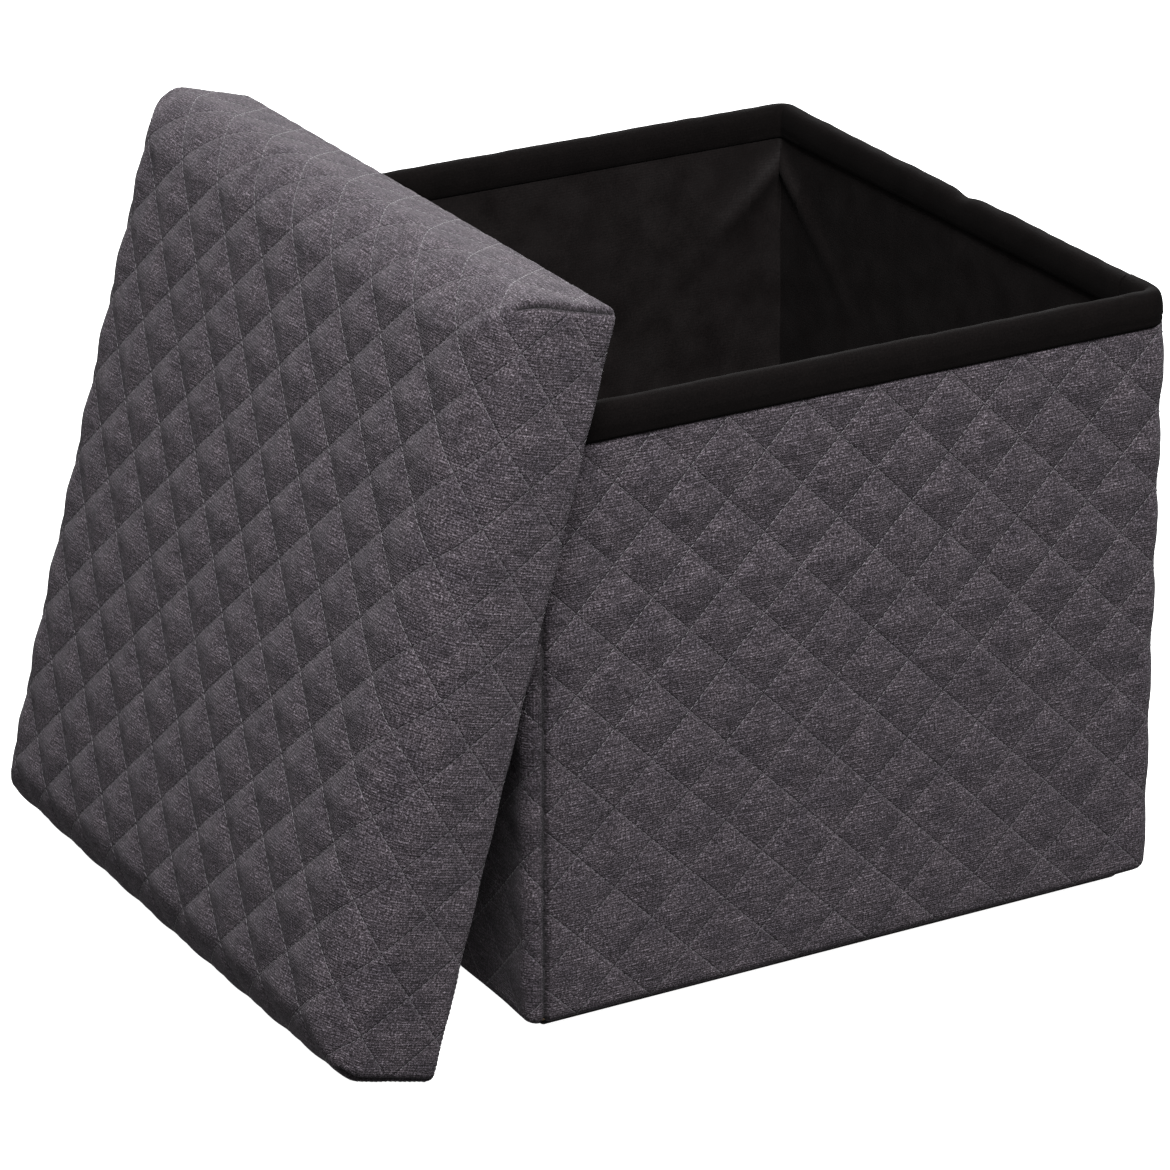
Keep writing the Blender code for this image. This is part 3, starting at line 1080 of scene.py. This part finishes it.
lining = {
    "out": -0.0084,  # its face, from the outer face of the box
    "cornerRound": 0.0095,
    "top": 0.0020,  # above the tape's lower edge
    "bottom": 0.0010,
    "step": 0.0035,
    "cornerStep": 0.0025,
    "shell": 0.0005,
    "loose": 0.0008,
    "fold": 0.0026,  # the pulls that run down from the rim's corners
    "foldWide": 0.0042,
    "hem": 0.0008,  # turned in over the base panel's edge
    "backHem": 0.0006,
}
liningHeight = tapeZ + lining["top"] - footZ - lining["bottom"]


def liningPlace(side, point):
    x, y, h = point
    z = footZ + lining["bottom"] + y
    spot, facing = outlinePoint(side, x, 0.0, lining["cornerRound"])
    free = smoothStep(y, 0.0, 0.03) * (1 - smoothStep(y, liningHeight - 0.02, liningHeight))
    waves = lining["loose"] * wobble(spot.x, spot.y, z * 0.35, 0.045, 9.0) * free
    waves += 0.0003 * wobble(spot.x, spot.y, z, 0.015, 4.0) * free
    fold = 0.0
    for cornerX, cornerY in ((halfX, halfY), (-halfX, halfY), (halfX, -halfY), (-halfX, -halfY)):
        along = math.hypot(spot.x - cornerX, spot.y - cornerY)
        drop = tapeZ - z
        across = (drop - along * 0.9 - 0.004) * 0.74
        reach = math.exp(-(along / 0.05) ** 2) * smoothStep(along, 0.0, 0.012)
        fold += lining["fold"] * math.exp(-(across / lining["foldWide"]) ** 2) * reach
    hem = lining["backHem"] if side == 2 else lining["hem"]
    out = lining["out"] - waves - fold - hem * (1 - smoothStep(y, 0.0, 0.0045))
    spot, facing = outlinePoint(side, x, out, lining["cornerRound"])
    return Vector((spot.x, spot.y, z))


for place, side, start, end, body in loopRows:
    low, high = loopRange(side, start, end, lining["cornerRound"])
    step = lining["cornerStep"] if end == "next" else lining["step"]
    piece = flatSheet(place + "_lining_cloth", high - low, liningHeight, step)
    layLoop(piece, low, lambda point: liningPlace(side, point))
    editWhole(piece, bpy.ops.mesh.flip_normals)
    thicken(piece, lining["shell"])
    dressPiece(piece, liningMaterial)
    setPiece(piece, body, wallNodes(place, "_lining"))
print("lining hung")


# the base panel's sleeve, with the strip that hinges it to the back wall

base = {
    "welt": 0.0008,
    "step": 0.0045,
    "shell": 0.0004,
    "sideCuts": (0.0006, 0.0013, 0.0022),  # where its sewn sides close, from each edge
    "bendCuts": 8,
}
sleeveLow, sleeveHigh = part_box("base_sleeve")
sleeveLow = sleeveLow - Vector((base["welt"], base["welt"], 0.0))
sleeveHigh = sleeveHigh + Vector((base["welt"], 0.0, 0.0))
sleeveWide = sleeveHigh.x - sleeveLow.x
sleeveDeep = sleeveHigh.y - sleeveLow.y
sleeveRound = (sleeveHigh.z - sleeveLow.z) / 2 - base["shell"] / 2
sleeveArc = math.pi * sleeveRound
sleeveCloth = 2 * (sleeveDeep - sleeveRound) + sleeveArc


def sleevePlace(point):
    # from the rear edge forward under the board, round its front edge, and back over it
    x, y, h = point
    middleZ = (sleeveLow.z + sleeveHigh.z) / 2
    run = sleeveDeep - sleeveRound
    frontY = sleeveLow.y + sleeveRound + base["shell"] / 2
    if y < run:
        spot = Vector((x, frontY + run - y, -sleeveRound))
    elif y < run + sleeveArc:
        angle = (y - run) / sleeveRound
        spot = Vector((x, frontY - sleeveRound * math.sin(angle), -sleeveRound * math.cos(angle)))
    else:
        spot = Vector((x, frontY + y - run - sleeveArc, sleeveRound))
    side = min(x, sleeveWide - x)
    rear = sleeveHigh.y - spot.y
    rearHeight = 0.12 + 0.88 * smoothStep(rear, 0.0, 0.004)
    spot.z *= math.sqrt(smoothStep(side, -0.0002, 0.0024)) * rearHeight
    free = smoothStep(side, 0.002, 0.02) * smoothStep(rear, 0.002, 0.02)
    if spot.z > 0:
        spot.z += (0.00025 * wobble(x, spot.y, 0.0, 0.035, 6.0) + 0.00015) * free
    return Vector((sleeveLow.x + x, min(spot.y, sleeveHigh.y), middleZ + spot.z))


sleeve = flatSheet("base_sleeve_cloth", sleeveWide, sleeveCloth, base["step"])
for offset in base["sideCuts"]:
    cutAt(sleeve, 0, offset, 1, clear=False)
    cutAt(sleeve, 0, sleeveWide - offset, 1, clear=False)
for step in range(base["bendCuts"] + 1):
    cutAt(sleeve, 1, sleeveDeep - sleeveRound + sleeveArc * step / base["bendCuts"], 1, clear=False)
writeUv(sleeve)
wrapPiece(sleeve, sleevePlace)
thicken(sleeve, base["shell"])
dressPiece(sleeve, liningMaterial)
setPiece(sleeve, "base_panel", ["base_sleeve"])
print("base panel covered")


# the lid

lid = {
    "origin": (-0.2078523, -0.0038, -0.0004593),
    "lean": math.radians(15.4),
    "long": 0.331,
    "thick": 0.057,
    "round": 0.024,  # over the seat's edges
    "cornerRound": 0.0045,  # of its outline
    "fall": 0.0036,  # how far the seat falls from its middle to its edges
    "fallPower": 3.2,
    "inset": 0.0007,
    "bulge": 0.0022,
    "rimRound": 0.0018,
    "turnIn": 0.0050,
    "sideFirm": 0.70,  # how much of a pillow's height is lost down the sides
    "seamDip": 0.0016,
    "seamWidth": 0.0018,
    # width of the painted shadow along a corner seam
    "seamShadow": 0.0015,
    "crossing": (0.0177, -0.0123),  # of two stitch lines, from the seat's middle
}
lean = lid["lean"]
lidTurn = Matrix((
    (math.sin(lean), 0.0, -math.cos(lean)),
    (0.0, 1.0, 0.0),
    (math.cos(lean), 0.0, math.sin(lean)),
))
lidOrigin = Vector(lid["origin"])


def fromLid(u, v, w):
    # u up the seat, v across it, w out of its rim
    return lidOrigin + lidTurn @ Vector((u, v, w))


lidHalf = lid["long"] / 2 - lid["inset"]
flatHalf = lidHalf - lid["round"]
seatW = lid["thick"] - lid["inset"]
arcLength = math.pi / 2 * lid["round"]
sideDrop = seatW - lid["round"] - lid["rimRound"]
rimArc = math.pi / 2 * lid["rimRound"]
clothHalf = flatHalf + arcLength + sideDrop + rimArc + lid["turnIn"]
seamPast = lid["round"] - lid["cornerRound"] * (1 - math.pi / 4)  # the cloth left at a corner
seamAt = flatHalf + seamPast


def quarterOf(point, middle):
    # the signs and sizes of a place on a square sheet, from its middle
    a = point.x - middle
    b = point.y - middle
    return (1 if a >= 0 else -1), (1 if b >= 0 else -1), abs(a), abs(b)


def seatFall(a, b, half):
    # 0 at the seat's middle, 1 at its edges
    return min(1.0, (a / half) ** lid["fallPower"] + (b / half) ** lid["fallPower"])


def lidSection(past):
    # (spread, w, way out, how far turned) at a distance past the flat of the seat
    r = lid["round"]
    q = lid["rimRound"]
    if past <= 0:
        return 0.0, seatW, (0.0, 1.0), 0.0
    if past <= arcLength:
        angle = past / r
        turned = math.sin(angle)
        return r * turned, seatW - r + r * math.cos(angle), (turned, math.cos(angle)), turned
    if past <= arcLength + sideDrop:
        return r, seatW - r - (past - arcLength), (1.0, 0.0), 1.0
    if past <= arcLength + sideDrop + rimArc:
        angle = (past - arcLength - sideDrop) / q
        spread = r - q + q * math.cos(angle)
        return spread, q - q * math.sin(angle), (math.cos(angle), -math.sin(angle)), 1.0
    return r - q - (past - arcLength - sideDrop - rimArc), 0.0, (0.0, -1.0), 1.0


def lidPlace(point):
    # the flat square of cloth, its corners cut out, folded down over the seat's four sides
    signA, signB, a, b = quarterOf(point, clothHalf)
    h = point.z
    swap = b > a
    if swap:
        a, b = b, a
    past = a - flatHalf
    spread, w, normal, turned = lidSection(past)
    r = lid["round"]
    away = (1.0, 0.0)
    if past <= 0:
        flatA, flatB = a, b
    else:
        rounded = lid["cornerRound"] * turned
        flatA = flatHalf + spread
        flatB = min(b, flatHalf)
        aside = max(b - flatHalf, 0.0)
        if aside > 0:
            reach = r * turned - rounded * (1 - math.pi / 4)
            along = min(aside / max(min(past, seamPast), 1e-9), 1.0) * reach
            straight = r * turned - rounded
            if along <= straight or rounded < 1e-7:
                flatB = flatHalf + along
            else:
                turn = (along - straight) / rounded
                away = (math.cos(turn), math.sin(turn))
                flatA = flatHalf + spread - rounded + rounded * away[0]
                flatB = flatHalf + straight + rounded * away[1]
    if past > seamPast and b > seamAt - 0.02:
        gap = (seamAt - b) / lid["seamWidth"]
        h -= lid["seamDip"] * math.exp(-gap * gap) * smoothStep(past, seamPast, seamPast + 0.005)
    if normal[1] < -0.5:
        h *= 0.3
    elif h > 0.0:
        h *= 1 - lid["sideFirm"] * turned
    flatA += normal[0] * away[0] * h
    flatB += normal[0] * away[1] * h
    w += normal[1] * h
    # a slightly crowned seat and fuller sides
    fall = seatFall(min(flatA, lidHalf), min(flatB, lidHalf), lidHalf)
    if w > seatW - r:
        w -= lid["fall"] * fall * smoothStep(w, seatW - r, seatW)
    fuller = math.sin(math.pi * min(max(w / seatW, 0.0), 1.0))
    if normal[0] > 0.0:
        flatA += lid["bulge"] * normal[0] * fuller * (1 - min(flatB / lidHalf, 1.0) ** 2)
    w += 0.0006 * wobble(point.x, point.y, 0.0, 0.06, 7.0) * max(normal[1], 0.0)
    if swap:
        flatA, flatB = flatB, flatA
    return fromLid(lid["long"] / 2 + signA * flatA, signB * flatB, w)


def lidEdge(x, y):
    # how near a place on the flat cloth is to its cut edge
    a = abs(x - clothHalf)
    b = abs(y - clothHalf)
    cutEdge = abs(a - seamAt) if b > seamAt - 1e-5 else 1.0
    cutEdge = min(cutEdge, abs(b - seamAt) if a > seamAt - 1e-5 else 1.0)
    return min(cutEdge, clothHalf - max(a, b))


def lidSeamShade(point):
    # painted shade in the short seam at each corner of the seat: 1 in the seam, falling to 0 beside it
    a = abs(point.x - clothHalf)
    b = abs(point.y - clothHalf)
    gap = (seamAt - min(a, b)) / lid["seamShadow"]
    return math.exp(-gap * gap) * smoothStep(max(a, b), seamAt - 0.001, seamAt + 0.001)


def onLidCloth(x, y):
    inStrip = abs(x - clothHalf) < seamAt or abs(y - clothHalf) < seamAt
    return lidEdge(x, y) > 0.006 and inStrip and 0.0 < x < clothWide and 0.0 < y < clothWide


clothWide = 2 * clothHalf
lidCrossing = (clothHalf + lid["crossing"][0], clothHalf + lid["crossing"][1])
lidCover = flatSheet("lid_quilt_cover", clothWide, clothWide, 0.0, lidCrossing, False)
cutCorners(lidCover, clothHalf, seamAt)
mergeClose(lidCover, 0.0006)
rims = (0.0, clothWide, clothHalf - seamAt, clothHalf + seamAt)
snapRim(lidCover, [(axis, value) for pair in (rims[:2], rims[2:]) for axis in (0, 1) for value in pair])
writeUv(lidCover, lidCrossing, False)
puffQuilt(lidCover, lidCrossing, lidEdge, 11.3, False)
lidSpots = stitchSpots(lidCover, lidCrossing, onLidCloth, False)
wrapPiece(lidCover, lidPlace, lidSeamShade)
dressPiece(lidCover, linenMaterial)
sewOn(lidCover, lidSpots, lidPlace)
setPiece(lidCover, "lid", ["lid_cover"])
print("lid quilted", len(lidCover.data.vertices))


# foam inside the lid

foam = {
    "inset": 0.0045,
    "low": 0.0272,
    "high": 0.0522,
    "edge": 0.0050,
    "least": 0.003,  # its thickness at the edges
    "fallHalf": 0.161,
    "cut": 0.02,  # between the cuts that let it bend
    "edgeCut": 0.0035,
}
foamWide = lid["long"] - 2 * foam["inset"]
foamHigh = foam["high"] - foam["low"]
deselectAll()
bpy.ops.mesh.primitive_cube_add(size=1.0)
foamBlock = bpy.context.object
foamBlock.name = "lid_foam_pad"
foamBlock.scale = (foamWide, foamWide, foamHigh)
applyPlace(foamBlock)
easeEdges(foamBlock, foam["edge"])
reach = lid["long"] / 2 - foam["inset"]
cuts = [-0.14 + foam["cut"] * step for step in range(15)]
cuts += [sign * (reach - step * foam["edgeCut"]) for sign in (-1, 1) for step in range(2, 6)]
for axis in (0, 1):
    for value in cuts:
        cutAt(foamBlock, axis, value, 1, clear=False)


def edgeDrop(away):
    # how far the seat's rounded edge falls below its flat, away from its middle
    past = away - (lid["long"] / 2 - lid["inset"] - lid["round"])
    if past <= 0:
        return 0.0
    return lid["round"] - math.sqrt(max(lid["round"] ** 2 - past * past, 0.0))


for vertex in foamBlock.data.vertices:
    x, y, z = vertex.co
    fall = seatFall(abs(x), abs(y), foam["fallHalf"])
    top = foamHigh - lid["fall"] * fall - edgeDrop(abs(x)) - edgeDrop(abs(y))
    z = foam["low"] + (z / foamHigh + 0.5) * max(top, foam["least"])
    vertex.co = fromLid(x + lid["long"] / 2, y, z)
outward(foamBlock)
dressPiece(foamBlock, foamMaterial)
setPiece(foamBlock, "lid", ["lid_foam"])


# the lid's inner lining: one sheet over the recess and down its four sides

recess = {
    "half": 0.1588,
    "ceiling": 0.0218,
    "rim": 0.0012,
    "step": 0.0040,
    "shell": 0.0004,
    "loose": 0.0006,
}
recessDrop = recess["ceiling"] - recess["rim"]
recessCloth = recess["half"] + recessDrop


def recessPlace(point):
    signA, signB, a, b = quarterOf(point, recessCloth)
    half = recess["half"]
    past = max(a, b) - half
    w = recess["ceiling"]
    pinch = 0.0
    if past > 0:
        w -= past
    else:
        sag = 0.5 + 0.5 * wobble(point.x, point.y, 0.0, 0.05, 8.0)
        w -= recess["loose"] * sag * smoothStep(-past, 0.0, 0.02)
    if past > 0.002:
        pinch = abs(recess["loose"] * wobble(point.x, point.y, 0.0, 0.03, 3.0))
    a = half - pinch if a >= half else a
    b = half - pinch if b >= half else b
    return fromLid(lid["long"] / 2 + signA * a, signB * b, w)


recessWide = 2 * recessCloth
recessSheet = flatSheet("lid_recess_lining", recessWide, recessWide, recess["step"])
cutCorners(recessSheet, recessCloth, recess["half"])
writeUv(recessSheet)
wrapPiece(recessSheet, recessPlace)
mergeClose(recessSheet, 0.0002)
editWhole(recessSheet, bpy.ops.mesh.flip_normals)
thicken(recessSheet, recess["shell"])
dressPiece(recessSheet, liningMaterial)
setPiece(recessSheet, "lid", ["lid_lining"])
print("lid filled and lined")


# boards: thin slabs with eased edges, drawn in a little from the cloth round them

boards = {
    "ease": 0.0013,
    "drawIn": 0.0028,
    "sideDrawIn": 0.0035,  # of the boards that meet at a crease
    "drawDown": 0.0022,
    "drawUp": 0.0008,
}
lidBoards = {
    "skirtOut": 0.0033,  # the skirt strips' outer faces, from the lid's edge
    "skirtIn": 0.0063,
    "skirtEnd": 0.0060,
    "skirtLow": 0.0020,
    "skirtHigh": 0.0224,
    "panelGap": 0.0010,
    "panelLow": 0.0229,
    "panelHigh": 0.0269,
}


def makeBoard(name, low, high, body, replaced, place=None):
    deselectAll()
    low = Vector(low)
    high = Vector(high)
    bpy.ops.mesh.primitive_cube_add(size=1.0, location=(low + high) / 2)
    board = bpy.context.object
    board.name = name
    board.scale = high - low
    applyPlace(board)
    easeEdges(board, boards["ease"])
    if place is not None:
        for vertex in board.data.vertices:
            vertex.co = place(*vertex.co)
        outward(board)
    dressPiece(board, boardMaterial, 40)
    setPiece(board, body, [replaced])


for body in ("front_wall", "back_wall", "left_rear", "left_front", "right_rear", "right_front"):
    low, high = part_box(body + "_board")
    ends = Vector((boards["drawIn"], 0.0, 0.0))
    if high.x - low.x < high.y - low.y:
        ends = Vector((0.0, boards["sideDrawIn"], 0.0))
    low = low + ends + Vector((0, 0, boards["drawUp"]))
    high = high - ends - Vector((0, 0, boards["drawDown"]))
    makeBoard(body + "_panel", low, high, body, body + "_board")
middle = lid["long"] / 2
near = middle - lidBoards["skirtIn"]
far = middle - lidBoards["skirtOut"]
reach = near - lidBoards["skirtEnd"]
skirts = (
    ("bottom", (middle - far, -reach), (middle - near, reach)),
    ("top", (middle + near, -reach), (middle + far, reach)),
    ("front", (middle - reach, -far), (middle + reach, -near)),
    ("back", (middle - reach, near), (middle + reach, far)),
)
for tag, low, high in skirts:
    low = (*low, lidBoards["skirtLow"])
    high = (*high, lidBoards["skirtHigh"])
    makeBoard("lid_rim_board_" + tag, low, high, "lid", "lid_skirt_" + tag, fromLid)
half = near - lidBoards["panelGap"]
low = (middle - half, -half, lidBoards["panelLow"])
high = (middle + half, half, lidBoards["panelHigh"])
makeBoard("lid_panel", low, high, "lid", "lid_board", fromLid)
baseBoard = frame["nodes"]["base_board"]
baseBoard.data.materials.clear()
baseBoard.data.materials.append(boardMaterial)
print("boards finished")


# floor, light and camera

studio = {
    "floor": 24.0,
    "worldLight": 0.20,
    "floorGlow": 1.0,
    "cameraPlace": (-1.126, -1.930, 1.039),
    "cameraYaw": 29.34,
    "cameraPitch": 22.42,
    "cameraRoll": -0.27,
    "lens": 169.2,
    "lamps": (  # name, place, target, size, power
        ("softTop", (-0.30, -1.05, 2.05), (-0.05, 0.0, 0.12), (0.9, 0.7), 104.0),
        ("softFill", (-1.9, -1.3, 1.5), (-0.05, 0.0, 0.15), (1.4, 1.2), 9.0),
        ("softBack", (1.3, 1.9, 1.5), (0.0, 0.0, 0.15), (1.6, 1.4), 60.0),
    ),
}


def makeFloor():
    # the floor glows evenly, but lights nothing
    deselectAll()
    bpy.ops.mesh.primitive_plane_add(size=studio["floor"], location=(0.0, 0.0, 0.0))
    floor = bpy.context.object
    floor.name = "studio_floor"
    material, tree, shader = newMaterial("paleFloor")
    patches = noiseNode(tree, placeNode(tree), 3.0, 3.0)
    colour = rampNode(tree, patches, ((0.3, grey(0.62)), (0.7, grey(0.64))))
    tree.links.new(colour, shader.inputs["Base Color"])
    setSockets(shader, {
        "Roughness": 0.7, "Emission Color": (1.0, 1.0, 1.0, 1.0),
        "Emission Strength": studio["floorGlow"],
    })
    floor.data.materials.append(material)
    floor.visible_diffuse = False
    floor.visible_glossy = False


def addLamp(name, place, target, size, power):
    data = bpy.data.lights.new(name, "AREA")
    data.shape = "RECTANGLE"
    data.size = size[0]
    data.size_y = size[1]
    data.energy = power
    lamp = bpy.data.objects.new(name, data)
    bpy.context.scene.collection.objects.link(lamp)
    lamp.location = place
    way = Vector(target) - Vector(place)
    lamp.rotation_euler = way.to_track_quat("-Z", "Y").to_euler()


def makeCamera():
    data = bpy.data.cameras.new("studioCamera")
    data.sensor_width = 36.0
    data.lens = studio["lens"]
    data.clip_start = 0.05
    data.clip_end = 50.0
    camera = bpy.data.objects.new("studioCamera", data)
    bpy.context.scene.collection.objects.link(camera)
    yaw = math.radians(studio["cameraYaw"])
    pitch = math.radians(studio["cameraPitch"])
    roll = math.radians(studio["cameraRoll"])
    ahead = Vector((
        math.sin(yaw) * math.cos(pitch), math.cos(yaw) * math.cos(pitch), -math.sin(pitch)
    ))
    right = Vector((math.cos(yaw), -math.sin(yaw), 0.0))
    above = right.cross(ahead)
    turnedRight = right * math.cos(roll) + above * math.sin(roll)
    turnedAbove = turnedRight.cross(ahead)
    turn = Matrix((turnedRight, turnedAbove, -ahead)).transposed()
    camera.matrix_world = Matrix.Translation(Vector(studio["cameraPlace"])) @ turn.to_4x4()
    bpy.context.scene.camera = camera


def makeWorld():
    world = bpy.data.worlds.new("studioWorld")
    bpy.context.scene.world = world
    world.use_nodes = True
    back = world.node_tree.nodes["Background"]
    back.inputs["Color"].default_value = (1.0, 1.0, 1.0, 1.0)
    back.inputs["Strength"].default_value = studio["worldLight"]


makeFloor()
makeWorld()
for lamp in studio["lamps"]:
    addLamp(*lamp)
makeCamera()
bpy.context.scene.view_settings.view_transform = "Standard"
print("studio ready")
